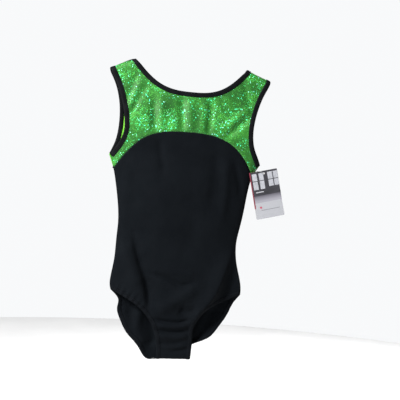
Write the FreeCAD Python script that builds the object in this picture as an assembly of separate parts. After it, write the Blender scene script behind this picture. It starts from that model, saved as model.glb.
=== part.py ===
import FreeCAD, Part
import math
import os
from FreeCAD import Vector

os.makedirs("parts", exist_ok=True)

# A sleeveless gymnastics leotard as it hangs by its shoulder straps, in millimetres.
# X runs across the garment to the wearer's left, Y from its front (-Y) to its back (+Y), Z up.
# The origin is the seat of the straps: the point midway between the undersides of the two
# shoulder ridges, where a hanger or a rail carries the garment.
# The cloth is one folded sheet: up the front, over each shoulder, down the back and round
# under the crotch. Each layer is a slab between two offsets of that sheet, cut to outlines
# drawn in the X-Z plane. Offsets count outwards from the middle of the cloth.

# ---- driving dimensions ----
FABRIC = 0.8                    # stretch knit
STRAP_CENTRE_X = 145.0
SHOULDER_SLOPE_DEG = 23.0
SADDLE_RADIUS = 12.0            # the strap's fold over its support
CROTCH_RADIUS = 5.0             # the fold under the crotch
CROTCH_HALF_WIDTH = 36.0
CROTCH_Z = -612.0               # where the fold under the crotch begins
ARMPIT = (160.0, -192.0)        # the armhole meets the side seam
HIP_CORNER = (137.0, -472.0)    # the leg opening meets the side seam
SEAM_HALF_DEPTH = 2.0           # middle of the cloth to the mid plane, along the side seams

BINDING_WIDTH = 10.0            # folded stretch binding on neck and armholes
BINDING_OUT = 1.2
BINDING_IN = -1.6
EDGE_WEB = 1.0                  # the fold of a binding or hem beyond the cloth or elastic
ELASTIC_IN = -0.9               # elastic lies on the inside of the cloth
ELASTIC_WIDTH = 6.5
HEM_WIDTH = 8.0                 # turned hem of the leg openings
HEM_IN = -1.7
SEAM_IN = -1.6                  # overlocked seam allowances, on the inside
SEAM_WIDTH = 6.0
SEAM_END_GAP = 0.4
LINING_IN = -1.0
LINING_TOP_Z = -538.0

CARD_WIDTH = 60.0
CARD_HEIGHT = 102.0
CARD_THICKNESS = 0.5
CARD_CORNER = 1.5
CARD_HOLE_RADIUS = 2.0
CARD_HOLE_DROP = 6.0            # top edge of the card to the middle of its hole
CARD_HANG = (168.0, -210.0)     # X and Z of the hole as the cards hang
CARD_FRONT_Y = -11.4            # front face of the front card
CARD_GAP = 0.6
FRONT_CARD_LEAN_DEG = 13.6
REAR_CARD_LEAN_DEG = 13.1
REAR_HOLE_SHIFT = 2.0           # the rear card is punched this far off its centre line
LOOP_SEAM = (150.5, -204.0)     # X and Z where the plastic loop pierces the side seam
LOOP_HOLE_RADIUS = 1.2
LOOP_WIRE_RADIUS = 0.45
LOOP_FRONT_Y = -14.0
LOOP_BACK_Y = 5.5
LOOP_BEND = 2.4

LABEL_LENGTH = 34.0
LABEL_HEIGHT = 25.0
LABEL_THICKNESS = 0.8
LABEL_TOP_Z = -288.0

# ---- outlines, as (X, Z) points of smooth curves on the wearer's left half ----
FRONT_NECKLINE = [(0, -49), (40, -46), (66, -37), (86, -24), (101, -10), (111, 3), (118, 12), (125, 24)]
BACK_NECKLINE = [(0, -108), (42, -100), (74, -75), (96, -41), (111, -8), (118, 12), (123, 26)]
ARMHOLE = [(175, 4), (172, -11), (160, -36), (147, -70), (139, -106), (138, -130), (144, -160), ARMPIT]
SIDE_SEAM = [ARMPIT, (148, -222), (136, -282), (128, -360), (131, -410), (138, -455), HIP_CORNER]
YOKE_SEAM = [(0, -134), (60, -139), (104, -160), (130, -188), (152, -226), (164, -256)]
FRONT_LEG = [HIP_CORNER, (108, -487), (82, -504), (60, -527), (46, -552), (38, -584), (36, -617)]
BACK_LEG = [HIP_CORNER, (125, -492), (116, -515), (101, -543), (82, -570), (58, -594), (36, -617)]

# ---- half depth of the hanging cloth on the centre line, as (Z, depth) ----
FRONT_DEPTHS = [(-620, 6), (-580, 10), (-520, 14), (-450, 17), (-360, 17), (-280, 20), (-190, 21), (-120, 20), (60, 16)]
BACK_DEPTHS = [(-620, 6), (-580, 14), (-520, 20), (-450, 20), (-360, 15), (-280, 17), (-190, 19), (-120, 18), (60, 16)]
ARM_CLOSED_Z = -200.0           # below this the sides are sewn shut
ARM_OPEN_Z = -120.0             # above this the armhole edges hang free
ARM_PULL = 0.12                 # how much the free edges still curve inwards
EDGE_ROUNDING = 0.02
SHOULDER_BLEND = 120.0
CROTCH_BLEND = 110.0
NECK_ROUND_X = 90.0             # the ridge line is rounded off across the neck

# ---- grid of the sheet ----
SHEET_HALF_X = 180.0
COLUMNS = 25
FLAT_ROWS = 26
SADDLE_ROWS = 8
CROTCH_ROWS = 3
CROTCH_SLIT = 0.004             # the sheet stops this far short of closing, as part of its run
STEP = 0.001

FRONT = -1
BACK = 1
LEFT = 1
RIGHT = -1
SIDES = ((LEFT, "left"), (RIGHT, "right"))
NECKLINES = {FRONT: FRONT_NECKLINE, BACK: BACK_NECKLINE}
LEG_EDGES = {FRONT: FRONT_LEG, BACK: BACK_LEG}
REACH = 80.0                    # outlines are extruded this far
FAR = 260.0                     # beyond the garment
TAN_SLOPE = math.tan(math.radians(SHOULDER_SLOPE_DEG))
SADDLE_RISE = SADDLE_RADIUS / math.cos(math.radians(SHOULDER_SLOPE_DEG))


def smoothstep(t):
    t = min(max(t, 0.0), 1.0)
    return t * t * (3 - 2 * t)


def blend(start, end, t):
    return start + (end - start) * smoothstep(t)


def through(rows, z):
    """Value at z of a smooth curve through rows of (z, value), in rising z."""
    if z <= rows[0][0]:
        return rows[0][1]
    if z >= rows[-1][0]:
        return rows[-1][1]
    last = len(rows) - 1
    i = max(k for k in range(last) if rows[k][0] <= z)
    before, start, end, after = rows[max(i - 1, 0)], rows[i], rows[i + 1], rows[min(i + 2, last)]
    run = end[0] - start[0]
    slope_in = (end[1] - before[1]) / (end[0] - before[0]) * run
    slope_out = (after[1] - start[1]) / (after[0] - start[0]) * run
    t = (z - start[0]) / run
    ends = start[1] * (2 * t**3 - 3 * t**2 + 1) + end[1] * (3 * t**2 - 2 * t**3)
    return ends + slope_in * (t**3 - 2 * t**2 + t) + slope_out * (t**3 - t**2)


SIDE_HALF_WIDTHS = sorted((z, x) for x, z in SIDE_SEAM)


def ridge_z(x):
    """Height of the middle of the cloth on the shoulder line."""
    reach = abs(x)
    if reach < NECK_ROUND_X:
        reach = (NECK_ROUND_X + reach**2 / NECK_ROUND_X) / 2
    return FABRIC / 2 + (STRAP_CENTRE_X - reach) * TAN_SLOPE


def half_depth(x, z, depths):
    """Distance of the middle of the cloth from the mid plane."""
    pull = blend(1.0, ARM_PULL, (z - ARM_CLOSED_Z) / (ARM_OPEN_Z - ARM_CLOSED_Z))
    closing = 1 - pull * (x / through(SIDE_HALF_WIDTHS, z))**2
    closing = (closing + math.hypot(closing, EDGE_ROUNDING)) / 2
    depth = SEAM_HALF_DEPTH + (through(depths, z) - SEAM_HALF_DEPTH) * closing
    depth = blend(SADDLE_RADIUS, depth, (ridge_z(x) - SADDLE_RISE - z) / SHOULDER_BLEND)
    return blend(CROTCH_RADIUS, depth, (z - CROTCH_Z) / CROTCH_BLEND)


def sheet_point(x, run):
    """Point of the sheet at x; run goes 0-1 crotch fold, 1-2 front, 2-3 shoulder, 3-4 back, 4-5 fold."""
    run = run % 5
    spring_z = ridge_z(x) - SADDLE_RISE
    if run < 1 or run >= 4:
        angle = (run if run < 1 else run - 5) * math.pi / 2
        return Vector(x, -CROTCH_RADIUS * math.sin(angle), CROTCH_Z - CROTCH_RADIUS * math.cos(angle))
    if run < 2:
        z = CROTCH_Z + (spring_z - CROTCH_Z) * (run - 1)
        return Vector(x, -half_depth(x, z, FRONT_DEPTHS), z)
    if run < 3:
        angle = (run - 2) * math.pi
        return Vector(x, -SADDLE_RADIUS * math.cos(angle), spring_z + SADDLE_RISE * math.sin(angle))
    z = spring_z + (CROTCH_Z - spring_z) * (run - 3)
    return Vector(x, half_depth(x, z, BACK_DEPTHS), z)


def offset_point(x, run, offset):
    """The sheet's point, moved outwards along its normal."""
    across = sheet_point(x + STEP, run) - sheet_point(x - STEP, run)
    up = sheet_point(x, run + STEP) - sheet_point(x, run - STEP)
    return sheet_point(x, run) + across.cross(up).normalize() * offset


def sheet_runs():
    """Rows of the grid, closer together where the sheet folds."""
    rows = [CROTCH_SLIT + (1 - CROTCH_SLIT) * i / CROTCH_ROWS for i in range(CROTCH_ROWS)]
    rows += [1 + i / FLAT_ROWS for i in range(FLAT_ROWS)]
    rows += [2 + i / SADDLE_ROWS for i in range(SADDLE_ROWS)]
    rows += [3 + i / FLAT_ROWS for i in range(FLAT_ROWS)]
    return rows + [4 + (1 - CROTCH_SLIT) * i / CROTCH_ROWS for i in range(CROTCH_ROWS + 1)]


def offset_surface(offset):
    runs = sheet_runs()
    columns = [SHEET_HALF_X * (2 * i / (COLUMNS - 1) - 1) for i in range(COLUMNS)]
    surface = Part.BSplineSurface()
    surface.interpolate([[offset_point(x, run, offset) for run in runs] for x in columns])
    return surface


def slab(inner, outer):
    """The whole sheet between two offsets, as a closed solid."""
    low = offset_surface(inner)
    high = offset_surface(outer)
    u0, u1, v0, v1 = low.bounds()
    faces = [low.toShape(), high.toShape()]
    for u in (u0, u1):
        faces.append(Part.makeRuledSurface(low.uIso(u).toShape(), high.uIso(u).toShape()))
    for v in (v0, v1):
        faces.append(Part.makeRuledSurface(low.vIso(v).toShape(), high.vIso(v).toShape()))
    shell = Part.makeShell(faces)
    shell.sewShape()
    solid = Part.makeSolid(shell)
    if solid.Volume < 0:
        solid.reverse()
    return solid


# ---- outlines as faces in the X-Z plane ----
def flat_point(point):
    return Vector(point[0], 0, point[1])


def spline_through(points):
    spline = Part.BSplineCurve()
    spline.interpolate([flat_point(p) for p in points])
    return spline


def mirrored(points):
    return [(-x, z) for x, z in reversed(points)]


def across(points):
    """The whole curve, from the wearer's right to the left, of a half that starts at X = 0."""
    return mirrored(points)[:-1] + points


def shifted(points, distance):
    """The curve's points moved sideways into the cloth, which lies on the right of the curve."""
    if distance == 0:
        return points
    spline = spline_through(points)
    moved = []
    for x, z in points:
        heading = spline.tangent(spline.parameter(flat_point((x, z))))[0]
        moved.append((x + heading.z * distance, z - heading.x * distance))
    return moved


def face(parts):
    """A face bounded by curves (lists of points) joined in order by straight lines."""
    edges = []
    for i, points in enumerate(parts):
        if len(points) > 2:
            edges.append(spline_through(points).toShape())
        else:
            edges.append(Part.makeLine(flat_point(points[0]), flat_point(points[1])))
        start = flat_point(points[-1])
        end = flat_point(parts[(i + 1) % len(parts)][0])
        if start.distanceToPoint(end) > STEP:
            edges.append(Part.makeLine(start, end))
    return Part.Face(Part.Wire(edges))


def both_sides(shape):
    """The shape and its mirror image on the wearer's right."""
    return shape.fuse(on_side(shape, RIGHT))


def on_side(shape, sign):
    return shape if sign == LEFT else shape.mirror(Vector(0, 0, 0), Vector(1, 0, 0))


# Each region below is an opening or a panel; margin is how far it reaches into the cloth.
def neck_region(side, margin=0.0):
    edge = shifted(across(NECKLINES[side]), margin)
    top = edge[-1][1] + REACH
    return face([edge, [(edge[-1][0], top), (edge[0][0], top)]])


def armhole_region(margin=0.0):
    edge = shifted(ARMHOLE, margin)
    return face([edge, [(FAR, edge[-1][1]), (FAR, REACH)], [(edge[0][0], REACH), edge[0]]])


def leg_region(side, margin=0.0):
    edge = shifted(LEG_EDGES[side], margin)
    floor = edge[-1][1] - REACH
    return face([edge, [(edge[-1][0], floor), (FAR, floor)], [(FAR, edge[0][1]), edge[0]]])


def yoke_region(margin=0.0):
    edge = shifted(across(YOKE_SEAM), margin)
    return face([edge, [(2 * FAR, edge[-1][1]), (2 * FAR, 2 * REACH)], [(-2 * FAR, 2 * REACH), (-2 * FAR, edge[0][1])]])


def torso_region(margin=0.0):
    """Everything between the side seams, open above the armpits and below the hips."""
    edge = shifted(SIDE_SEAM, margin)
    floor = HIP_CORNER[1] - 3 * REACH
    return face([edge, [(edge[-1][0], floor), (-edge[-1][0], floor)], mirrored(edge),
                 [(-FAR, edge[0][1]), (-FAR, REACH)], [(FAR, REACH), (FAR, edge[0][1])]])


def side_band():
    """The strip along both side seams, between the armholes and the leg openings."""
    top = ARMPIT[1]
    low = HIP_CORNER[1]
    sides = face([[(-FAR, low), (FAR, low)], [(FAR, top), (-FAR, top)]])
    band = torso_region().cut(torso_region(SEAM_WIDTH)).common(sides).cut(both_sides(armhole_region(BINDING_WIDTH)))
    for side in (FRONT, BACK):
        band = band.cut(both_sides(leg_region(side, HEM_WIDTH)))
    return band


def half_plane(sign):
    """Everything on one side of the garment."""
    floor = HIP_CORNER[1] - 3 * REACH
    return face([[(0, floor), (sign * FAR, floor)], [(sign * FAR, REACH), (0, REACH)]])


def prism(shape, side, near=0.0, far=REACH):
    """The flat shape drawn out along Y on one side of the mid plane, from near to far."""
    moved = shape.translated(Vector(0, side * near, 0))
    return moved.extrude(Vector(0, side * (far - near), 0))


def save(node, shape):
    solids = shape.Solids
    print(node, len(solids), "solid(s)", round(shape.Volume), "mm3", "valid" if shape.isValid() else "INVALID")
    result = solids[0] if len(solids) == 1 else Part.makeCompound(solids)
    result.exportStep("parts/" + node + ".step")
    return result


def sewn(inner, outer, front_shape, back_shape):
    """A layer of the sheet inside one outline on the front and another on the back."""
    tool = prism(front_shape, FRONT).fuse(prism(back_shape, BACK))
    return slab(inner, outer).common(tool)


def yokes_and_bodies():
    """Four panels of stretch knit: a foil yoke over a plain body, front and back."""
    cloth = slab(-FABRIC / 2, FABRIC / 2)
    arms = both_sides(armhole_region(EDGE_WEB))
    for side, name in ((FRONT, "front"), (BACK, "back")):
        upper = torso_region().common(yoke_region()).cut(neck_region(side, EDGE_WEB)).cut(arms)
        lower = torso_region().cut(yoke_region()).cut(both_sides(leg_region(side)))
        save(name + "_yoke", cloth.common(prism(upper, side)).cut(loop_hole()))
        save(name + "_body", cloth.common(prism(lower, side)))


def bound_edge(name, opening):
    """Folded binding round an opening, over the cloth's edge and a flat elastic.

    opening(side, margin) is the flat opening on the front or the back."""
    bands = []
    pockets = []
    elastics = []
    for side in (FRONT, BACK):
        web = opening(side, EDGE_WEB)
        bands.append(opening(side, BINDING_WIDTH).cut(opening(side, 0.0)).common(torso_region()))
        pockets.append(opening(side, BINDING_WIDTH + EDGE_WEB).cut(web))
        elastics.append(opening(side, EDGE_WEB + ELASTIC_WIDTH).cut(web).common(torso_region()))
    pocket = sewn(ELASTIC_IN, FABRIC / 2, *pockets)
    save(name + "_binding", sewn(BINDING_IN, BINDING_OUT, *bands).cut(pocket))
    save(name + "_elastic", sewn(ELASTIC_IN, -FABRIC / 2, *elastics))


def leg_hem(name, sign):
    """Turned hem inside a leg opening, closed over a flat elastic."""
    bands = []
    strips = []
    half = torso_region().common(half_plane(sign))
    for side in (FRONT, BACK):
        edge, web, inner, outer = [
            on_side(leg_region(side, margin), sign)
            for margin in (0.0, EDGE_WEB, EDGE_WEB + ELASTIC_WIDTH, HEM_WIDTH)
        ]
        bands.append(outer.cut(edge).common(half))
        strips.append(inner.cut(web).common(half))
    pocket = sewn(ELASTIC_IN, FABRIC / 2, *strips)
    save(name + "_leg_hem", sewn(HEM_IN, -FABRIC / 2, *bands).cut(pocket))
    save(name + "_leg_elastic", sewn(ELASTIC_IN, -FABRIC / 2, *strips))


def side_seam(name, sign):
    """Seam allowances that fill the narrow wedge where front and back are sewn together."""
    band = side_band().common(half_plane(sign))
    strip = band.translated(Vector(0, -SEAM_WIDTH, 0)).extrude(Vector(0, 2 * SEAM_WIDTH, 0))
    seam = strip.cut(slab(-FABRIC / 2, 2 * SEAM_WIDTH)).cut(loop_hole())
    return save(name + "_side_seam", seam)


def loop_hole():
    start = Vector(LOOP_SEAM[0], -REACH, LOOP_SEAM[1])
    return Part.makeCylinder(LOOP_HOLE_RADIUS, 2 * REACH, start, Vector(0, 1, 0))


def yoke_seams():
    """Overlocked allowances behind the seam that joins each yoke to its body panel."""
    allowance = slab(SEAM_IN, -FABRIC / 2)
    flat = yoke_region(SEAM_WIDTH / 2).cut(yoke_region(-SEAM_WIDTH / 2)).common(torso_region(SEAM_WIDTH))
    for side, name in ((FRONT, "front"), (BACK, "back")):
        save(name + "_yoke_seam", allowance.common(prism(flat, side)))


def shoulder_seams():
    """Allowances under the ridge of each strap, between its two bindings."""
    allowance = slab(SEAM_IN, -FABRIC / 2)
    for sign, name in SIDES:
        strip = None
        for side in (FRONT, BACK):
            flat = torso_region().common(half_plane(sign)).cut(neck_region(side, BINDING_WIDTH))
            flat = flat.cut(both_sides(armhole_region(BINDING_WIDTH)))
            half = prism(flat, side, 0, SEAM_WIDTH / 2)
            strip = half if strip is None else strip.fuse(half)
        seam = allowance.common(strip).Solids
        save(name + "_shoulder_seam", max(seam, key=lambda solid: solid.BoundBox.ZMax))


def crotch_parts():
    """The seam under the crotch, and the lining sewn behind the front of it."""
    length = 2 * (CROTCH_HALF_WIDTH - HEM_WIDTH) - SEAM_END_GAP
    start = Vector(-length / 2, 0, CROTCH_Z)
    fold = Part.makeCylinder(CROTCH_RADIUS, length, start, Vector(1, 0, 0))
    fold = fold.cut(Part.makeCylinder(CROTCH_RADIUS + SEAM_IN, length, start, Vector(1, 0, 0)))
    corner = Vector(-length / 2, -SEAM_WIDTH / 2, CROTCH_Z - CROTCH_RADIUS)
    fold = fold.common(Part.makeBox(length, SEAM_WIDTH, CROTCH_RADIUS, corner))
    save("crotch_seam", fold.cut(slab(-FABRIC / 2, SEAM_WIDTH)))
    floor = CROTCH_Z - REACH
    flat = face([[(-FAR, LINING_TOP_Z), (FAR, LINING_TOP_Z)], [(FAR, floor), (-FAR, floor)]])
    flat = flat.cut(both_sides(leg_region(FRONT, HEM_WIDTH)))
    save("gusset_lining", slab(LINING_IN, -FABRIC / 2).common(prism(flat, FRONT, SEAM_WIDTH / 2)))


def care_label(seam):
    """Folded woven label, sewn into the side seam on the wearer's left and lying inside."""
    edge = through(SIDE_HALF_WIDTHS, LABEL_TOP_Z - LABEL_HEIGHT)
    corner = Vector(edge - SEAM_WIDTH - LABEL_LENGTH, -LABEL_THICKNESS / 2, LABEL_TOP_Z - LABEL_HEIGHT)
    label = Part.makeBox(LABEL_LENGTH + SEAM_WIDTH / 2, LABEL_THICKNESS, LABEL_HEIGHT, corner)
    save("care_label", label.cut(seam))


def card(node, front_y, lean, hole_shift):
    """Board tag with rounded corners, leaning about the hole that it hangs by."""
    left = -CARD_WIDTH / 2 - hole_shift
    corner = Vector(left, front_y, CARD_HOLE_DROP - CARD_HEIGHT)
    board = Part.makeBox(CARD_WIDTH, CARD_THICKNESS, CARD_HEIGHT, corner)
    upright = [edge for edge in board.Edges if abs(edge.tangentAt(edge.FirstParameter).y) > 0.5]
    board = board.makeFillet(CARD_CORNER, upright)
    board = board.cut(Part.makeCylinder(CARD_HOLE_RADIUS, 2, Vector(0, front_y - 1, 0), Vector(0, 1, 0)))
    board.rotate(Vector(0, 0, 0), Vector(0, 1, 0), -lean)
    board.translate(flat_point(CARD_HANG))
    save(node, board)


def tag_loop():
    """Closed plastic loop through the side seam and through the holes of both cards."""
    seam = flat_point(LOOP_SEAM)
    along = flat_point(CARD_HANG) - seam
    length = along.Length
    along.normalize()
    depth = LOOP_BACK_Y - LOOP_FRONT_Y

    def place(u, v):
        return seam + along * u + Vector(0, LOOP_FRONT_Y + v, 0)

    corners = [(0, 0, 1, 1), (length, 0, -1, 1), (length, depth, -1, -1), (0, depth, 1, -1)]
    bow = LOOP_BEND * (1 - math.sqrt(0.5))
    arcs = []
    for i, (u, v, du, dv) in enumerate(corners):
        ends = [place(u, v + dv * LOOP_BEND), place(u + du * LOOP_BEND, v)]
        if i % 2:
            ends.reverse()
        arcs.append(Part.Arc(ends[0], place(u + du * bow, v + dv * bow), ends[1]).toShape())
    edges = []
    for i, arc in enumerate(arcs):
        start = arc.valueAt(arc.LastParameter)
        follower = arcs[(i + 1) % len(arcs)]
        edges += [arc, Part.makeLine(start, follower.valueAt(follower.FirstParameter))]
    path = Part.Wire(edges)
    middle = edges[1].CenterOfMass
    section = Part.Wire(Part.makeCircle(LOOP_WIRE_RADIUS, edges[1].valueAt(0), along))
    print("tag loop path", round(path.Length, 1), "mm, middle", middle)
    save("tag_loop", path.makePipeShell([section], True, True))


def build():
    yokes_and_bodies()
    bound_edge("neck", neck_region)
    for sign, name in SIDES:
        bound_edge(name + "_armhole", lambda side, margin: on_side(armhole_region(margin), sign))
        leg_hem(name, sign)
    side_seam("right", RIGHT)
    care_label(side_seam("left", LEFT))
    yoke_seams()
    shoulder_seams()
    crotch_parts()
    card("front_card", CARD_FRONT_Y, FRONT_CARD_LEAN_DEG, 0.0)
    card("rear_card", CARD_FRONT_Y + CARD_THICKNESS + CARD_GAP, REAR_CARD_LEAN_DEG, REAR_HOLE_SHIFT)
    tag_loop()


build()
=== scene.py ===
import math

import bpy
import numpy as np
from mathutils import Matrix, Quaternion, Vector, noise
from mathutils.bvhtree import BVHTree
from mathutils.geometry import barycentric_transform, delaunay_2d_cdt


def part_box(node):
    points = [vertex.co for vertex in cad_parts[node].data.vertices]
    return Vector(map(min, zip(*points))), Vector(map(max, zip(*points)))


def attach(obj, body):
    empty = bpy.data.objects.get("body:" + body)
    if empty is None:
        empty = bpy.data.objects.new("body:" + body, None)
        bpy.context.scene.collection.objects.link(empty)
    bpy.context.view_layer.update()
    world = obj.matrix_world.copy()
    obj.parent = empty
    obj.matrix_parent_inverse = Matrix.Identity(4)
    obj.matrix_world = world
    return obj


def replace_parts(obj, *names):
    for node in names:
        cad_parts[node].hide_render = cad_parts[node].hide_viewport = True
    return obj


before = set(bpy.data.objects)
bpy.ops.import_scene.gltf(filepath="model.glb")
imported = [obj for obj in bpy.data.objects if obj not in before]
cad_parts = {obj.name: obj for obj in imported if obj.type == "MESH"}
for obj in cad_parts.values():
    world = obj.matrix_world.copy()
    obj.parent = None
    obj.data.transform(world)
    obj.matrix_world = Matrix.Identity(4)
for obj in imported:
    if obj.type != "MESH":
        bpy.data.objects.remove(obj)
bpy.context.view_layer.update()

# A sleeveless gymnastics leotard hanging by its straps, in metres. X runs to the wearer's left, -Y out of
# the front, Z up. The cloth is cut from flat patterns: a pattern point is (x, s), where s is the height z
# on the flat front or back, and runs on round the shoulder fold above and the crotch fold below.
# The outlines are in millimetres, as a pattern maker writes them.
MM = 0.001
FRONT = -1
BACK = 1
LEFT = 1
RIGHT = -1

# ---- cut of the garment ----
NECKLINES = {
    FRONT: [(0, -49), (40, -46), (66, -37), (86, -24), (101, -10), (111, 3), (118, 12), (125, 24)],
    BACK: [(0, -108), (42, -100), (74, -75), (96, -41), (111, -8), (118, 12), (123, 26)],
}
ARMHOLE = [(175, 4), (172, -11), (160, -36), (147, -70), (139, -106), (138, -130), (144, -160), (160, -192)]
SIDE_SEAM = [(160, -192), (148, -222), (136, -282), (128, -360), (131, -410), (138, -455), (137, -472)]
YOKE_SEAM = [(0, -134), (60, -139), (104, -160), (130, -188), (152, -226), (164, -256)]
LEG_EDGES = {
    FRONT: [(137, -472), (108, -487), (82, -504), (60, -527), (46, -552), (38, -584), (36, -617)],
    BACK: [(137, -472), (125, -492), (116, -515), (101, -543), (82, -570), (58, -594), (36, -617)],
}
FRONT_DEPTHS = [(-620, 6), (-580, 10), (-520, 14), (-450, 17), (-360, 17), (-280, 20), (-190, 21),
                (-120, 20), (60, 16)]
BACK_DEPTHS = [(-620, 6), (-580, 14), (-520, 20), (-450, 20), (-360, 15), (-280, 17), (-190, 19),
               (-120, 18), (60, 16)]

STRAP_CENTRE_X = 145 * MM
SHOULDER_SLOPE = math.tan(math.radians(23))
RIDGE_Z = 0.4 * MM
SADDLE_RADIUS = 12 * MM
SADDLE_RISE = SADDLE_RADIUS / math.cos(math.radians(23))
CROTCH_RADIUS = 5 * MM
CROTCH_Z = -612 * MM
NECK_ROUND_X = 90 * MM
SHOULDER_BLEND = 120 * MM
CROTCH_BLEND = 110 * MM
ARM_CLOSED_Z = -192 * MM
ARM_OPEN_Z = -120 * MM
ARM_PULL = 0.12
QUARTER = math.pi / 2

CLOTH_SPACING = 3.6 * MM
EDGE_SPACING = 3.4 * MM
LINE_STEP = 6 * MM  # along creases and other lines that distances are measured from
CLEAR_OF_EDGE = 0.62 * CLOTH_SPACING
CLOTH_THICKNESS = 0.7 * MM


# ---- curves and the folded sheet ----
def ease(t):
    """0 up to t = 0, 1 from t = 1, and a smooth rise between."""
    t = np.clip(t, 0.0, 1.0)
    return t * t * (3 - 2 * t)


def blend(start, end, t):
    """From start, at t = 0, smoothly to end, at t = 1."""
    return start + (end - start) * ease(t)


def lengths(points):
    """How far along the polyline each of its points lies."""
    return np.concatenate([[0.0], np.cumsum(np.linalg.norm(np.diff(points, axis=0), axis=1))])


def read_off(at, run, points):
    """The points at these distances along a line, given those at the distances run."""
    return np.stack([np.interp(at, run, column) for column in points.T], axis=-1)


def evenly(points, spacing):
    """The same polyline with its points evenly spaced along it."""
    run = lengths(points)
    count = max(int(round(run[-1] / spacing)), 2)
    return read_off(np.linspace(0, run[-1], count + 1), run, points)


def spline(points):
    """Many points, in metres, of the natural cubic spline through points in millimetres."""
    p = np.array(points, float) * MM
    t = lengths(p)
    h = np.diff(t)
    system = np.eye(len(p))
    right = np.zeros_like(p)
    for i in range(1, len(p) - 1):
        system[i, i - 1:i + 2] = h[i - 1], 2 * (h[i - 1] + h[i]), h[i]
        right[i] = 6 * ((p[i + 1] - p[i]) / h[i] - (p[i] - p[i - 1]) / h[i - 1])
    bend = np.linalg.solve(system, right)
    u = np.linspace(0, t[-1], 1500)
    k = np.clip(np.searchsorted(t, u) - 1, 0, len(p) - 2)
    width = h[k][:, None]
    a = (t[k + 1] - u)[:, None] / width
    b = 1 - a
    return a * p[k] + b * p[k + 1] + ((a**3 - a) * bend[k] + (b**3 - b) * bend[k + 1]) * width**2 / 6


def across(points):
    """A half outline, drawn out from the middle, with its mirror image before it."""
    return [(-x, z) for x, z in reversed(points)][:-1] + points


def crossed(points, triangles):
    """Each triangle's normal, twice its area long, or for flat points that length with its sign."""
    corner = points[triangles]
    return np.cross(corner[:, 1] - corner[:, 0], corner[:, 2] - corner[:, 0])


SIDE_LINE = spline(SIDE_SEAM)
DEPTH_LINES = {FRONT: spline(FRONT_DEPTHS), BACK: spline(BACK_DEPTHS)}


def side_half_width(z):
    """Distance of the side seam from the middle."""
    return np.interp(z, SIDE_LINE[::-1, 1], SIDE_LINE[::-1, 0])


def ridge_z(x):
    """Height of the shoulder line, rounded off across the neck."""
    reach = np.abs(x)
    reach = np.where(reach < NECK_ROUND_X, (NECK_ROUND_X + reach**2 / NECK_ROUND_X) / 2, reach)
    return RIDGE_Z + (STRAP_CENTRE_X - reach) * SHOULDER_SLOPE


def half_depth(x, z, side):
    """How far the hanging cloth lies from the mid plane, nothing at the side seams."""
    pull = blend(1.0, ARM_PULL, (z - ARM_CLOSED_Z) / (ARM_OPEN_Z - ARM_CLOSED_Z))
    closing = np.clip(1 - pull * (x / side_half_width(z))**2, 0, 1)
    depth = np.interp(z, *DEPTH_LINES[side].T) * closing**0.75
    depth = blend(SADDLE_RADIUS, depth, (ridge_z(x) - SADDLE_RISE - z) / SHOULDER_BLEND)
    return blend(CROTCH_RADIUS, depth, (z - CROTCH_Z) / CROTCH_BLEND)


def unrolled(points):
    """Pattern points of points on the outline, which are given as (x, z)."""
    x, z = points[:, 0], points[:, 1]
    spring = ridge_z(x) - SADDLE_RISE
    over = np.arcsin(np.clip((z - spring) / SADDLE_RISE, 0, 1)) * SADDLE_RADIUS
    under = np.arcsin(np.clip((CROTCH_Z - z) / CROTCH_RADIUS, 0, 1)) * CROTCH_RADIUS
    return np.stack([x, np.clip(z, CROTCH_Z, spring) + over - under], axis=1)


def folded(pattern, side):
    """Where the pattern's points lie on the smooth folded sheet, before any creases."""
    x, s = pattern[:, 0], pattern[:, 1]
    spring = ridge_z(x) - SADDLE_RISE
    over = np.clip((s - spring) / SADDLE_RADIUS, 0, QUARTER)
    under = np.clip((CROTCH_Z - s) / CROTCH_RADIUS, 0, QUARTER)
    z = np.clip(s, CROTCH_Z, spring)
    y = half_depth(x, z, side)
    y = np.where(over > 0, SADDLE_RADIUS * np.cos(over), y)
    y = np.where(under > 0, CROTCH_RADIUS * np.cos(under), y)
    z = z + SADDLE_RISE * np.sin(over) - CROTCH_RADIUS * np.sin(under)
    return np.stack([x, side * y, z], axis=1)


# ---- how this one hangs: its lean, and the creases of its cloth ----
LEAN = [(-640, -4.5), (-560, -4.5), (-500, -5.5), (-463, -6.5), (-410, -9.5), (-360, -10), (-330, -6.5),
        (-280, -4.5), (-230, -5), (-180, -3), (-90, -1), (40, -1)]
STRAP_TILT = -0.018  # the left strap hangs a little lower than the right
TILT_TOP_Z = -100 * MM
TILT_END_Z = -350 * MM
LEAN_LINE = spline(LEAN)

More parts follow.
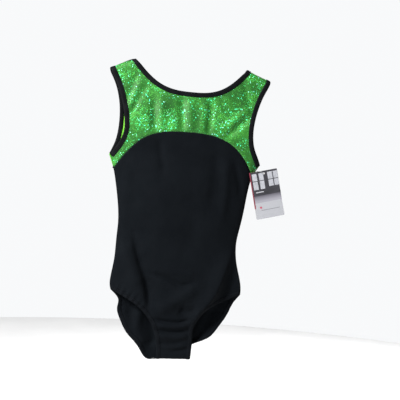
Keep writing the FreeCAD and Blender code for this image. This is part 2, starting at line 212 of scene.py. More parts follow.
# Each crease is a line of (x, z) on the hanging cloth, its half width and its height, out of the cloth.
FRONT_CREASES = [
    ([(-77, -72), (-74, -105), (-70, -138)], 8, -3.8),
    ([(-60, -66), (-58, -105), (-55, -138)], 9, 2.2),
    ([(-17, -60), (-15, -95), (-12, -134)], 8, -3.6),
    ([(0, -62), (3, -100), (6, -134)], 9, 2.4),
    ([(46, -62), (46, -95), (42, -137)], 7, -3.4),
    ([(32, -62), (31, -95), (29, -135)], 8, 1.8),
    ([(132, -90), (108, -112), (80, -140)], 8, -4.6),
    ([(134, -74), (106, -94), (84, -118)], 8, 3.2),
    ([(-112, -14), (-124, -50), (-134, -92)], 6, -1.4),
    ([(-100, -28), (-116, -62), (-132, -104)], 6, 1.3),
    ([(-90, -40), (-108, -74), (-130, -118)], 5, -1.5),
    ([(112, -10), (122, -40), (132, -78)], 7, -2.0),
    ([(-60, -150), (-54, -185), (-46, -225)], 8, -2.4),
    ([(-118, -212), (-121, -250), (-120, -295)], 14, 2.6),
    ([(62, -168), (66, -230), (60, -292)], 15, -2.8),
    ([(84, -192), (88, -250), (84, -312)], 10, 2.8),
    ([(104, -188), (118, -232), (124, -268)], 8, -3.2),
    ([(-101, -350), (-92, -385), (-78, -427), (-64, -470), (-60, -520)], 6.5, -6.0),
    ([(-122, -370), (-104, -420), (-86, -470)], 15, 5.5),
    ([(-84, -392), (-66, -436), (-52, -490)], 13, -5.0),
    ([(-66, -440), (-56, -480), (-50, -506)], 11, -4.0),
    ([(-58, -436), (-22, -445), (6, -458), (28, -452)], 6, -5.0),
    ([(-40, -420), (0, -430), (36, -436)], 10, 2.2),
    ([(-50, -515), (-8, -492), (40, -460)], 15, 6.0),
    ([(2, -508), (24, -515), (50, -508)], 11, -7.0),
    ([(-44, -532), (0, -537), (36, -531)], 4.0, -4.8),
    ([(-44, -543), (0, -546), (36, -542)], 4.5, 4.8),
    ([(-42, -554), (-5, -558), (32, -553)], 3.8, -4.2),
    ([(-40, -567), (0, -569), (32, -566)], 5, 4.2),
    ([(-36, -582), (-10, -584), (16, -579)], 4.0, -3.6),
    ([(-30, -590), (-4, -591), (24, -587)], 4.0, 2.6),
    ([(-8, -600), (14, -598), (32, -592)], 4.0, -3.0),
    ([(-60, -240), (-40, -300), (-52, -360)], 22, 2.4),
    ([(10, -250), (20, -310), (14, -390)], 20, -2.2),
]
BACK_CREASES = [
    ([(-70, -130), (-66, -180), (-70, -230)], 12, -2.6),
    ([(64, -120), (60, -180), (66, -240)], 13, 2.2),
    ([(-120, -40), (-112, -90), (-120, -150)], 9, 2.2),
    ([(122, -44), (112, -96), (118, -150)], 9, -2.4),
    ([(-20, -250), (0, -330), (-14, -420)], 22, 3.0),
    ([(100, -350), (84, -420), (60, -500)], 14, -5.0),
    ([(-104, -350), (-88, -430), (-66, -520)], 13, -5.0),
    ([(-79, -508), (-77, -556), (-62, -598)], 9, -7.5),
    ([(-50, -512), (-46, -556), (-34, -596)], 13, 8.0),
    ([(-112, -505), (-100, -540), (-84, -570)], 7, -2.4),
    ([(84, -500), (64, -545), (42, -590)], 9, 4.0),
    ([(-30, -470), (0, -484), (34, -472)], 12, -3.0),
    ([(-30, -560), (0, -566), (30, -560)], 6, -2.4),
]
CREASES = {FRONT: FRONT_CREASES, BACK: BACK_CREASES}
# The front turns away from the viewer along this line, towards the wearer's left hip.
TURN_LINE = [(118, -352), (101, -413), (84, -462), (66, -502), (50, -526), (38, -550)]
TURN_RISE = 10 * MM
TURN_FLOOR = 0.05
TURN_FALL = 25 * MM
TURN_WIDTH = 24 * MM
TURN_START = 2.6  # it fades in over 1/2.6 of the line, and out over the last 1/4.5
TURN_END = 4.5
TURN_SHAPE = 1.5
FRONT_SIGHT = 3.3 * MM  # seen from one side, front and back appear shifted by this, opposite ways
# Places where the cloth hangs off to one side: (x, z) of the middle, half widths in x and z, and the shift.
FRONT_NUDGES = [
    ((72, -516), (34, 26), (-10, 0, 0)),
    ((44, -545), (26, 26), (-8, 0, 0)),
    ((-142, -148), (26, 36), (4, 0, 0)),
    ((0, -34), (105, 26), (0, 0, -2)),
    ((24, -612), (22, 12), (0, 0, 2)),
]
BACK_NUDGES = [
    ((0, -596), (120, 19), (-19, 0, -1)),
    ((46, -598), (34, 20), (-7, 0, 3)),
    ((0, -556), (170, 26), (-4, 0, 0)),
    ((-116, -535), (62, 52), (-8, 0, 0)),
    ((-44, -612), (24, 16), (3.5, 0, -15)),
    ((-134, -494), (24, 17), (10, 0, 0)),
    ((-92, -568), (34, 22), (-5, 0, 0)),
    ((-66, -594), (16, 14), (3, 0, 0)),
    ((60, -588), (30, 18), (-4, 0, 3)),
    ((-150, -130), (40, 48), (-6.5, 0, 0)),
]
SEAM_NUDGES = [
    ((160, -180), (26, 30), (4.5, 0, 0)),
    ((137, -470), (30, 26), (2.5, 0, -2)),
    ((-137, -466), (30, 22), (-1.5, 0, 1)),
    ((116, 14), (16, 24), (3, 0, -2)),
    ((-116, 14), (16, 24), (-2.5, 0, -2.5)),
    ((174, 2), (18, 24), (0, 0, 3)),
    ((-174, 2), (18, 24), (1.5, 0, -3)),
]
NUDGES = {FRONT: FRONT_NUDGES, BACK: BACK_NUDGES}
NUDGE_END = 8 * MM  # nudges end this far round the fold under the crotch
NUDGE_FADE = 18 * MM
CREASE_FADE = 5  # a crease fades over a fifth of its length at each end,
CREASE_END = 0.35  # to this share of its height
SLACK_WAVES = ((70, 1.3), (32, 0.7), (15, 0.3))  # size and height
SLACK_STRETCH = 0.55  # the waves are longer up the cloth than across it
HIP_EASE = 0.011  # below the waist the cloth hangs wider than its outline by this share
HIP_EASE_Z = -200 * MM
HIP_EASE_FADE = 60 * MM
GATHERS = 13
GATHER_HEIGHT = 2.0 * MM
GATHER_REACH = 13 * MM
GATHER_ELSEWHERE = 0.3  # share of that height where the leg edge lies smoother
GATHER_SHARE = 0.5  # gathers end this share of the way along the edge from the hip
GATHER_FADE = 4
STRAP_FADE = 10 * MM  # creases end before the shoulder fold, the crotch fold and the side seams
CROTCH_FADE = 4 * MM
SEAM_FADE = 9
ARM_FADE = 30 * MM
LEAST_DEPTH = 1.2 * MM  # front and back stay this far off the mid plane
FLOOR_ROUNDING = 3 * MM


def distance_to(points, line):
    """Distance of each point from a polyline, and which side of it the point is on (+ is its right)."""
    start, end = line[:-1], line[1:]
    run = end - start
    offset = points[:, None, :] - start[None]
    t = np.clip((offset * run).sum(2) / (run * run).sum(1), 0, 1)
    gap = offset - t[:, :, None] * run
    far = np.linalg.norm(gap, axis=2)
    nearest = far.argmin(1)
    rows = np.arange(len(points))
    cross = run[nearest, 0] * gap[rows, nearest, 1] - run[nearest, 1] * gap[rows, nearest, 0]
    along = (nearest + t[rows, nearest]) / len(start)
    return far[rows, nearest], -np.sign(cross), along


def crease_height(places, side):
    """Height of all creases, outwards, at points (x, z)."""
    height = np.zeros(len(places))
    for line, width, rise in CREASES[side]:
        far, _, along = distance_to(places, evenly(spline(line), LINE_STEP))
        taper = ease(along * CREASE_FADE) * ease((1 - along) * CREASE_FADE)
        height += rise * MM * np.exp(-(far / (width * MM))**2) * (CREASE_END + (1 - CREASE_END) * taper)
    return height


def turned_away(places, depth):
    """Depth of the front where its side turns back: a ridge along the line, then a steep drop beyond it."""
    far, hand, along = distance_to(places, evenly(spline(TURN_LINE), LINE_STEP))
    reach = ease(along * TURN_START) * ease((1 - along) * TURN_END)
    ridge = depth + TURN_RISE * np.exp(-(far / TURN_WIDTH)**2)
    low = TURN_FLOOR * depth
    slope = low + (ridge - low) * np.clip(1 - far / TURN_FALL, 0, 1)**TURN_SHAPE
    turned = np.where(hand < 0, slope, ridge)
    return depth + (turned - depth) * reach


def roughened(places, seed):
    """Slight unevenness of slack knit, from long soft waves to small ones."""
    height = np.zeros(len(places))
    for size, rise in SLACK_WAVES:
        spots = places / (size * MM)
        height += rise * MM * np.array([noise.noise((x, z * SLACK_STRETCH, seed + size)) for x, z in spots])
    return height


def gathers(pattern, side):
    """Small puckers across the leg elastic."""
    line = evenly(unrolled(spline(LEG_EDGES[side])), LINE_STEP)
    height = np.zeros(len(pattern))
    for sign in (LEFT, RIGHT):
        far, _, along = distance_to(pattern * (sign, 1), line)
        wave = np.sin(2 * math.pi * (GATHERS * along + 0.6 * np.sin(5 * along + sign)))
        strength = GATHER_HEIGHT * (1.0 if side == FRONT and sign == RIGHT else GATHER_ELSEWHERE)
        strength = strength * ease((GATHER_SHARE - along) * GATHER_FADE)
        height += strength * wave * np.exp(-(far / GATHER_REACH)**2)
    return height


def hung(pattern, side):
    """Where the pattern's points hang, creases and lean included."""
    place = folded(pattern, side)
    x, z = place[:, 0].copy(), place[:, 2].copy()
    lean = np.interp(z, *LEAN_LINE.T)
    seen = np.stack([x + lean - side * FRONT_SIGHT, z], axis=1)
    height = crease_height(seen, side) + gathers(pattern, side) + roughened(seen, side)
    fixed = ease((pattern[:, 1] - (ridge_z(x) - SADDLE_RISE - STRAP_FADE)) / STRAP_FADE)
    fixed = np.maximum(fixed, ease((CROTCH_Z - pattern[:, 1] + CROTCH_FADE) / CROTCH_FADE))
    closing = np.clip(1 - np.abs(x) / side_half_width(z), 0, 1)
    sewn = ease(closing * SEAM_FADE + np.maximum(z - ARM_CLOSED_Z, 0) / ARM_FADE)
    depth = np.abs(place[:, 1])
    if side == FRONT:
        depth = turned_away(seen, depth)
    least = np.minimum(depth, LEAST_DEPTH)
    free = (1 - fixed) * sewn
    above = depth + height * free - least
    place[:, 1] = side * (least + (above + np.hypot(above, FLOOR_ROUNDING * free)) / 2)
    place[:, 0] += lean
    place[:, 0] += HIP_EASE * x * ease((HIP_EASE_Z - z) / HIP_EASE_FADE)
    for middle, reach, shift in NUDGES[side] + SEAM_NUDGES:
        off = (np.stack([x, z], axis=1) / MM - middle) / reach
        share = np.exp(-(off**2).sum(1)) * ease((pattern[:, 1] - CROTCH_Z + NUDGE_END) / NUDGE_FADE)
        place += share[:, None] * np.array(shift) * MM
    place[:, 2] += STRAP_TILT * x * ease((z - TILT_END_Z) / (TILT_TOP_Z - TILT_END_Z))
    return place


# ---- flat patterns, meshed with triangles ----
def clipped_at_ridge(line):
    """The part of an outline below the shoulder line, ending exactly on it."""
    over = line[:, 1] - ridge_z(line[:, 0])
    keep = np.where(over < 0)[0]
    first, last = keep[0], keep[-1]

    def crossing(kept, lost):
        t = over[kept] / (over[kept] - over[lost])
        return [line[kept] + t * (line[lost] - line[kept])]

    before = crossing(first, first - 1) if first > 0 else []
    after = crossing(last, last + 1) if last < len(line) - 1 else []
    return np.array(before + list(line[first:last + 1]) + after)


def inside(points, polygon):
    """Which points lie in the polygon."""
    result = np.zeros(len(points), bool)
    x, y = points[:, 0], points[:, 1]
    for (x0, y0), (x1, y1) in zip(polygon, np.roll(polygon, -1, axis=0)):
        if y0 != y1:
            crosses = (y0 > y) != (y1 > y)
            result ^= crosses & (x < x0 + (y - y0) * (x1 - x0) / (y1 - y0))
    return result


def ring_edges(count, first=0):
    """The edges of a closed ring of points, by number."""
    return [(first + i, first + (i + 1) % count) for i in range(count)]


class Pattern:
    """One flat pattern, front or back: yoke and body together, joined at the yoke seam."""

    def __init__(self, side):
        outline = self.cut(side)
        fixed, edges = self.fixed_lines(outline)
        self.flat = np.vstack([fixed, self.grid(fixed, outline)])
        found = delaunay_2d_cdt([Vector(p) for p in self.flat], edges, [], 0, 1e-7)
        numbers = [sources[0] for sources in found[3]]
        triangles = np.array([[numbers[i] for i in f] for f in found[2]])
        triangles = triangles[inside(self.flat[triangles].mean(1), outline)]
        centres = self.flat[triangles].mean(1)
        wrong = (crossed(self.flat, triangles) > 0) != (side == FRONT)
        triangles[wrong] = triangles[wrong][:, ::-1]
        self.triangles = triangles
        self.in_yoke = centres[:, 1] > np.interp(centres[:, 0], *self.yoke_line.T)
        self.tree = BVHTree.FromPolygons([(x, s, 0) for x, s in self.flat], [list(t) for t in triangles])
        self.places = hung(self.flat, side)
        turn = crossed(self.places, triangles)
        normals = np.zeros_like(self.places)
        for k in range(3):
            np.add.at(normals, triangles[:, k], turn)
        self.normals = normals / np.maximum(np.linalg.norm(normals, axis=1), 1e-12)[:, None]

    def cut(self, side):
        """The outline, clockwise as seen from the front. chains holds the points of each named stretch."""
        flip = np.array([-1.0, 1.0])
        neck = clipped_at_ridge(spline(across(NECKLINES[side])))
        neck = evenly(unrolled(neck), EDGE_SPACING)
        arm = evenly(unrolled(clipped_at_ridge(spline(ARMHOLE))), EDGE_SPACING)
        seam = evenly(SIDE_LINE, EDGE_SPACING)
        leg = evenly(unrolled(spline(LEG_EDGES[side])), EDGE_SPACING)
        ridge = evenly(np.array([neck[-1], arm[0]]), EDGE_SPACING)
        ridge[:, 1] = ridge_z(ridge[:, 0]) - SADDLE_RISE + SADDLE_RADIUS * QUARTER
        crotch = evenly(np.array([leg[-1], leg[-1] * flip]), EDGE_SPACING)
        left = [("ridge", ridge), ("arm", arm), ("side", seam), ("leg", leg)]
        chains = [("neck", neck)] + [("left_" + name, line) for name, line in left] + [("crotch", crotch)]
        chains += [("right_" + name, line[::-1] * flip) for name, line in reversed(left)]
        points = []
        self.chains = {}
        for name, line in chains:
            self.chains[name] = list(range(len(points), len(points) + len(line)))
            points += list(line[:-1])
        for chain in self.chains.values():
            chain[-1] %= len(points)
        return np.array(points)

    def fixed_lines(self, outline):
        """The points and edges that the mesh has to keep: the outline, and the yoke seam across it."""
        rim = len(outline)
        edges = ring_edges(rim)
        seam = spline(across(YOKE_SEAM))
        seam = evenly(seam[inside(seam, outline)], EDGE_SPACING)
        first, last = [int(np.linalg.norm(outline - seam[k], axis=1).argmin()) for k in (0, -1)]
        seam = seam[1:-1]
        self.yoke_line = np.vstack([outline[first], seam, outline[last]])
        numbers = [first] + list(range(rim, rim + len(seam))) + [last]
        edges += list(zip(numbers[:-1], numbers[1:]))
        return np.vstack([outline, seam]), edges

    @staticmethod
    def grid(fixed, outline):
        """Points in staggered rows all over the pattern, clear of the fixed ones."""
        rows = np.arange(fixed[:, 1].min(), fixed[:, 1].max(), CLOTH_SPACING * math.sqrt(3) / 2)
        spots = []
        for k, s in enumerate(rows):
            columns = np.arange(fixed[:, 0].min(), fixed[:, 0].max(), CLOTH_SPACING)
            columns += k % 2 * CLOTH_SPACING / 2
            spots.append(np.stack([columns, np.full(len(columns), s)], axis=1))
        spots = np.vstack(spots)
        spots = spots[inside(spots, outline)]
        gaps = np.array([np.linalg.norm(fixed - p, axis=1).min() for p in spots])
        return spots[gaps > CLEAR_OF_EDGE]

    def line(self, name):
        """A named stretch of the outline."""
        return self.flat[self.chains[name]]

    def on_cloth(self, point):
        """Place and normal of the cloth at a pattern point, carried on in line just outside it."""
        at = Vector((point[0], point[1], 0))
        near, _, index, gap = self.tree.find_nearest(at)
        place, normal = self.read(near, index)
        if gap > 1e-6:
            behind, _, index, _ = self.tree.find_nearest(2 * near - at)
            place = 2 * place - self.read(behind, index)[0]
        return place, normal

    def read(self, at, index):
        """Place and normal at a point of one triangle."""
        triangle = self.triangles[index]
        flat = [Vector((*self.flat[i], 0)) for i in triangle]
        place = barycentric_transform(at, *flat, *[Vector(self.places[i]) for i in triangle])
        normal = barycentric_transform(at, *flat, *[Vector(self.normals[i]) for i in triangle])
        return place, normal.normalized()


# ---- camera and light ----
CAMERA_AZIMUTH = math.radians(-11)
CAMERA_ELEVATION = math.radians(1.5)
CAMERA_ROLL = math.radians(3.45)
CAMERA_DISTANCE = 1.8
CAMERA_TARGET = Vector((0.034, 0, -0.275))
VIEW_WIDTH = 0.853
AMBIENT_LIGHT = 0.22
BACKDROP_LIGHT = 1.0


def linked(name, data):
    """A new object in the scene."""
    thing = bpy.data.objects.new(name, data)
    bpy.context.collection.objects.link(thing)
    return thing


def aimed(name, data, place, direction, roll=0.0):
    """A new object at a place, looking in a direction, rolled about its line of sight."""
    thing = linked(name, data)
    thing.location = place
    thing.rotation_mode = "QUATERNION"
    thing.rotation_quaternion = direction.to_track_quat("-Z", "Y") @ Quaternion((0, 0, 1), roll)
    return thing


def make_camera():
    """The camera, a little to one side and above, rolled as the garment tilts."""
    data = bpy.data.cameras.new("camera")
    data.sensor_width = 36
    data.lens = 36 * CAMERA_DISTANCE / VIEW_WIDTH
    back_off = Vector((math.sin(CAMERA_AZIMUTH) * math.cos(CAMERA_ELEVATION),
                       -math.cos(CAMERA_AZIMUTH) * math.cos(CAMERA_ELEVATION), math.sin(CAMERA_ELEVATION)))
    place = CAMERA_TARGET + back_off * CAMERA_DISTANCE
    bpy.context.scene.camera = aimed("camera", data, place, -back_off, CAMERA_ROLL)


def area_light(name, place, size, power, target=(0, 0, -0.3)):
    """A rectangular lamp that faces its target."""
    data = bpy.data.lights.new(name, "AREA")
    data.shape = "RECTANGLE"
    data.size, data.size_y = size
    data.energy = power
    aimed(name, data, place, Vector(target) - Vector(place))


make_camera()
area_light("key", (-1.55, -1.2, 0.9), (0.45, 0.6), 190)
area_light("fill", (1.2, -1.9, 0.2), (0.9, 1.2), 4)
area_light("top", (-0.2, -0.6, 2.6), (2.4, 2.0), 48, target=(0, 0, -0.9))
area_light("rear", (1.5, 1.5, 0.5), (0.6, 0.8), 45)
bpy.context.scene.view_settings.view_transform = "Standard"
world = bpy.data.worlds.new("studio")
bpy.context.scene.world = world
world.use_nodes = True
backdrop = world.node_tree.nodes["Background"]
backdrop.inputs["Color"].default_value = (0.94, 0.95, 0.96, 1)
rays = world.node_tree.nodes.new("ShaderNodeLightPath")
strength = world.node_tree.nodes.new("ShaderNodeMapRange")
strength.inputs["To Min"].default_value = AMBIENT_LIGHT
strength.inputs["To Max"].default_value = BACKDROP_LIGHT
world.node_tree.links.new(rays.outputs["Is Camera Ray"], strength.inputs["Value"])
world.node_tree.links.new(strength.outputs["Result"], backdrop.inputs["Strength"])


# ---- sizes of the swing tag ----
CARD_WIDTH = 60 * MM
CARD_HEIGHT = 102 * MM
CARD_CORNER = 1.5 * MM
CARD_HOLE_RADIUS = 2.0 * MM
CARD_HOLE_DROP = 6 * MM
CARD_HANG = (168 * MM, -210 * MM)
CARD_THICKNESS = 0.4 * MM
CARD_BOW = 0.25 * MM
# On the prints, distances are in millimetres in from the left edge and down from the top one.
PICTURE_FLOOR = 52.0
FLOOR_SHADE = 12.0
PANEL_TOP = 67.0
WHITE_TOP = 79.0
DOT = (11.0, 77.5)
DOT_RADIUS_SQUARED = 5.5


# ---- materials ----
def rgb(red, green, blue):
    """A colour given as screen values from 0 to 255."""
    values = [c / 255 for c in (red, green, blue)]
    return tuple(c / 12.92 if c <= 0.04045 else ((c + 0.055) / 1.055)**2.4 for c in values) + (1,)


class Material:
    """A node material. Its methods add nodes and give their output."""

    def __init__(self, name, **sockets):
        self.material = bpy.data.materials.new(name)
        self.material.use_nodes = True
        self.tree = self.material.node_tree
        self.shader = self.tree.nodes["Principled BSDF"]
        for socket, value in sockets.items():
            self.shader.inputs[socket.replace("_", " ")].default_value = value
        self.place = self.add("ShaderNodeTexCoord").outputs["Object"]

    def add(self, kind, inputs=(), **settings):
        node = self.tree.nodes.new(kind)
        for name, value in settings.items():
            setattr(node, name, value)
        for socket, value in dict(inputs).items():
            if isinstance(value, bpy.types.NodeSocket):
                self.tree.links.new(value, node.inputs[socket])
            else:
                node.inputs[socket].default_value = value
        return node

    def noise(self, scale, detail):
        inputs = {"Vector": self.place, "Scale": scale, "Detail": detail}
        return self.add("ShaderNodeTexNoise", inputs).outputs["Fac"]

    def cells(self, scale, output="Color", place=None):
        inputs = {"Vector": place or self.place, "Scale": scale}
        return self.add("ShaderNodeTexVoronoi", inputs).outputs[output]

    def ramp(self, value, *stops):
        node = self.add("ShaderNodeValToRGB", {"Fac": value})
        elements = node.color_ramp.elements
        while len(elements) < len(stops):
            elements.new(1)
        for element, (at, colour) in zip(elements, stops):
            element.position = at
            element.color = colour
        return node.outputs["Color"]

    def maths(self, operation, first, second=0.0, third=0.0):
        return self.add("ShaderNodeMath", {0: first, 1: second, 2: third}, operation=operation).outputs[0]

    def mix(self, share, first, second):
        return self.add("ShaderNodeMix", {0: share, 6: first, 7: second}, data_type="RGBA").outputs[2]

    def grey(self, value):
        return self.add("ShaderNodeRGBToBW", {"Color": value}).outputs["Val"]

    def parts(self):
        node = self.add("ShaderNodeSeparateXYZ", {"Vector": self.place})
        return node.outputs["X"], node.outputs["Y"], node.outputs["Z"]

    def stretched(self, scale):
        return self.add("ShaderNodeMapping", {"Vector": self.place, "Scale": scale}).outputs["Vector"]

    def bump(self, height, distance, strength=1.0, after=None):
        inputs = {"Height": height, "Distance": distance, "Strength": strength}
        if after is not None:
            inputs["Normal"] = after
        return self.add("ShaderNodeBump", inputs).outputs["Normal"]

    def finished(self, **outputs):
        """Links the outputs to the shader's sockets of those names, and gives the material."""
        for socket, output in outputs.items():
            self.tree.links.new(output, self.shader.inputs[socket.replace("_", " ")])
        return self.material


def grey_of(level):
    """A grey of this brightness, for a ramp."""
    return (level, level, level, 1)


def make_foil():
    """Bright green knit with a hologram foil, whose flakes lie thicker in some places than in others. Its
    brighter flakes are painted glints in the base colour.
    """
    m = Material("foil_knit", Metallic=0.18, Specular_IOR_Level=0.36)
    broad = m.noise(26, 4)
    fine = m.grey(m.cells(1100))
    tone = m.maths("MULTIPLY_ADD", fine, 0.16, m.maths("MULTIPLY", broad, 0.84))
    colour = m.ramp(tone, (0.30, rgb(11, 66, 11)), (0.46, rgb(18, 78, 15)), (0.60, rgb(26, 90, 20)),
                    (0.74, rgb(38, 106, 28)))
    patches = m.grey(m.ramp(m.noise(30, 4), (0.42, grey_of(0)), (0.66, grey_of(1))))
    cluster = m.maths("MULTIPLY_ADD", patches, 0.9, 0.18)
    # Each kind of flake has its scale, the share of cells that hold one, its size in the cell and its tint.
    # The first kind is a foil dot in the knit's own green; the three brighter cyan and white kinds are
    # painted glints, highlights painted into the base colour.
    for scale, share, reach, dot_and_glint_tint in ((900, 0.34, 0.50, (68, 158, 54)), (560, 0.22, 0.42, (54, 184, 104)),
                                      (290, 0.15, 0.36, (66, 216, 160)), (400, 0.07, 0.34, (138, 224, 204))):
        lit = m.maths("LESS_THAN", m.grey(m.cells(scale)), m.maths("MULTIPLY_ADD", cluster, share, 0.10))
        spot = m.maths("MULTIPLY", lit, m.maths("LESS_THAN", m.cells(scale, "Distance"), reach))
        colour = m.mix(spot, colour, rgb(*dot_and_glint_tint))
    roughness = m.maths("MULTIPLY_ADD", m.grey(m.cells(520)), 0.28, 0.42)
    flake = m.bump(m.cells(1100, "Distance"), 0.0005, 0.30)
    normal = m.bump(m.grey(m.cells(270)), 0.0006, 0.25, flake)
    return m.finished(Base_Color=colour, Roughness=roughness, Normal=normal)


def make_knit(name, colour, worn, roughness, pitch, nap=0.004):
    """Plain stretch knit: rows of small stitches, slightly uneven dye, a soft nap."""
    m = Material(name, Sheen_Weight=nap, Sheen_Roughness=0.4, Specular_IOR_Level=0.05)
    dye = m.ramp(m.noise(14, 4), (0.32, colour), (0.70, worn))
    roughness = m.maths("MULTIPLY_ADD", m.noise(60, 3), 0.16, roughness - 0.08)
    waves = {"Vector": m.place, "Scale": 1 / pitch / 6.2832, "Distortion": 0.6, "Detail": 1.0,
             "Detail Scale": 2.0}
    rows = m.add("ShaderNodeTexWave", waves, wave_type="BANDS", bands_direction="X").outputs["Fac"]
    loops = m.cells(1 / pitch, "Distance", m.stretched((1, 1, 0.62)))
    fuzz = m.bump(m.noise(1400, 2), 0.0003, 0.35)
    stitch = m.maths("MULTIPLY_ADD", loops, 0.7, m.maths("MULTIPLY", rows, 0.3))
    return m.finished(Base_Color=dye, Roughness=roughness, Normal=m.bump(stitch, 0.0004, 0.5, fuzz))


def make_tape(name, colour, worn, pitch=0.0011, roughness=0.62):
    """Folded elastic binding or thread: close ribs across a smooth, slightly shiny band."""
    m = Material(name, Sheen_Weight=0.004, Specular_IOR_Level=0.05)
    dye = m.ramp(m.noise(90, 4), (0.35, colour), (0.72, worn))
    roughness = m.maths("MULTIPLY_ADD", m.noise(260, 2), 0.2, roughness - 0.1)
    ribs = m.bump(m.cells(1 / pitch, "Distance"), 0.0003, 0.5)
    return m.finished(Base_Color=dye, Roughness=roughness, Normal=ribs)


def make_front_card():
    """Printed board: two tall windows over a pale floor, then a light panel with a dot and a rule."""
    m = Material("printed_card", Roughness=0.42, Coat_Weight=0.25, Coat_Roughness=0.25)
    x, _, z = m.parts()
    u = m.maths("MULTIPLY_ADD", x, 1000.0, CARD_WIDTH / 2 / MM)
    v = m.maths("MULTIPLY_ADD", z, -1000.0, CARD_HOLE_DROP / MM)

    def within(value, low, high):
        """1 between two distances on the card, else 0."""
        return m.maths("MULTIPLY", m.maths("GREATER_THAN", value, low), m.maths("LESS_THAN", value, high))

    def box(left, right, top, bottom):
        return m.maths("MULTIPLY", within(u, left, right), within(v, top, bottom))

    def panes(left, right, bottom):
        """A window of two panes side by side, over two taller ones."""
        columns = m.maths("ADD", within(u, left, left + 10.5), within(u, right - 10, right))
        bars = m.maths("ADD", within(v, 4.0, 19.5), within(v, 21.0, bottom))
        return m.maths("MULTIPLY", columns, bars)

    paper_grain = m.noise(700, 3)
    wall = m.ramp(m.noise(60, 4), (0.3, rgb(22, 22, 26)), (0.7, rgb(38, 37, 43)))
    glass = m.ramp(m.noise(110, 3), (0.35, rgb(124, 125, 130)), (0.7, rgb(138, 139, 144)))
    picture = m.mix(m.maths("ADD", panes(2.5, 27.5, 38.5), panes(37.0, 59.5, 35.0)), wall, glass)
    shade = m.maths("MULTIPLY_ADD", v, 1 / FLOOR_SHADE, -PICTURE_FLOOR / FLOOR_SHADE)
    floor_tone = m.ramp(shade, (0.0, rgb(66, 64, 72)), (1.0, rgb(116, 115, 122)))
    picture = m.mix(m.maths("GREATER_THAN", v, PICTURE_FLOOR), picture, floor_tone)
    picture = m.mix(box(5.0, 23.0, 43.5, 45.4), picture, rgb(140, 140, 144))
    panel = m.ramp(paper_grain, (0.3, rgb(126, 127, 131)), (0.7, rgb(134, 135, 139)))
    panel = m.mix(box(11.0, 52.0, 83.0, 84.3), panel, rgb(88, 89, 94))
    du = m.maths("SUBTRACT", u, DOT[0])
    dv = m.maths("SUBTRACT", v, DOT[1])
    dot = m.maths("ADD", m.maths("MULTIPLY", du, du), m.maths("MULTIPLY", dv, dv))
    panel = m.mix(m.maths("LESS_THAN", dot, DOT_RADIUS_SQUARED), panel, rgb(140, 34, 60))
    colour = m.mix(m.maths("GREATER_THAN", v, PANEL_TOP), picture, panel)
    return m.finished(Base_Color=colour, Normal=m.bump(paper_grain, 0.0001, 0.3))


def make_rear_card():
    """Coloured board: deep red above, white below."""
    m = Material("coloured_card", Roughness=0.45, Coat_Weight=0.2, Coat_Roughness=0.3)
    _, _, z = m.parts()
    v = m.maths("MULTIPLY_ADD", z, -1000.0, CARD_HOLE_DROP / MM)
    red = m.ramp(m.noise(80, 3), (0.3, rgb(88, 18, 32)), (0.7, rgb(102, 26, 42)))
    white = m.ramp(m.noise(700, 3), (0.3, rgb(128, 129, 132)), (0.7, rgb(138, 139, 142)))
    colour = m.mix(m.maths("GREATER_THAN", v, WHITE_TOP), red, white)
    return m.finished(Base_Color=colour, Normal=m.bump(m.noise(700, 3), 0.0001, 0.3))


def make_clear_nylon():
    """Clear filament of the tag's loop."""
    m = Material("clear_nylon", Roughness=0.18, IOR=1.52, Transmission_Weight=0.75)
    colour = m.ramp(m.noise(300, 2), (0.3, rgb(228, 230, 232)), (0.7, rgb(244, 246, 247)))
    return m.finished(Base_Color=colour, Normal=m.bump(m.noise(900, 2), 0.0001, 0.3))


foil = make_foil()
foil_reverse = make_knit("foil_reverse", rgb(78, 142, 40), rgb(100, 166, 54), 0.62, 0.0009, 0.15)
black_knit = make_knit("plain_knit", rgb(3.4, 5.4, 8.2), rgb(5.6, 8.2, 11.4), 0.88, 0.0011)
lining_knit = make_knit("lining_knit", rgb(9, 11, 14), rgb(14, 16, 20), 0.88, 0.0009)
binding_tape = make_tape("binding_tape", rgb(3.5, 4, 5.5), rgb(7, 8, 10))
elastic_tape = make_tape("elastic_tape", rgb(200, 200, 196), rgb(226, 226, 222), 0.0014, 0.7)
hem_knit = make_knit("hem_knit", rgb(3.2, 5, 7.6), rgb(5.4, 7.6, 10.6), 0.88, 0.0010)
thread = make_tape("seam_thread", rgb(8, 9, 12), rgb(18, 20, 24), 0.0007, 0.7)
woven_label = make_knit("woven_label", rgb(222, 222, 218), rgb(238, 238, 235), 0.5, 0.0005, 0.2)
printed_card = make_front_card()
coloured_card = make_rear_card()
clear_nylon = make_clear_nylon()


# ---- meshes of the pieces ----
def mesh_piece(name, points, faces, material, slot_name, body="leotard", smooth=True, place=None, lined=None):
    """A piece that rides on a body. lined is a second material, and the range of faces that have it."""
    data = bpy.data.meshes.new(name)
    data.from_pydata([tuple(p) for p in points], [], [tuple(f) for f in faces])
    data.validate()
    if smooth:
        data.shade_smooth()
    data.materials.append(material)
    if lined is not None:
        reverse, first, last = lined
        data.materials.append(reverse)
        indices = [int(first <= i < last) for i in range(len(data.polygons))]
        data.polygons.foreach_set("material_index", indices)
    piece = linked(name, data)
    if place is not None:
        piece.matrix_world = place
    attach(piece, body)
    return piece


def two_layers(points, normals, triangles, thickness):
    """A closed sheet: the given face, another one a thickness behind it, and the rim that joins them."""
    used = np.unique(triangles)
    face = np.searchsorted(used, triangles)
    outer = points[used]
    inner = outer - normals[used] * thickness
    count = len(used)
    edges = {edge: True for t in face for edge in ((t[0], t[1]), (t[1], t[2]), (t[2], t[0]))}
    rim = [(a, b) for a, b in edges if (b, a) not in edges]
    faces = [tuple(t) for t in face] + [tuple(t[::-1] + count) for t in face]
    faces += [(b, a, a + count, b + count) for a, b in rim]
    return np.vstack([outer, inner]), faces


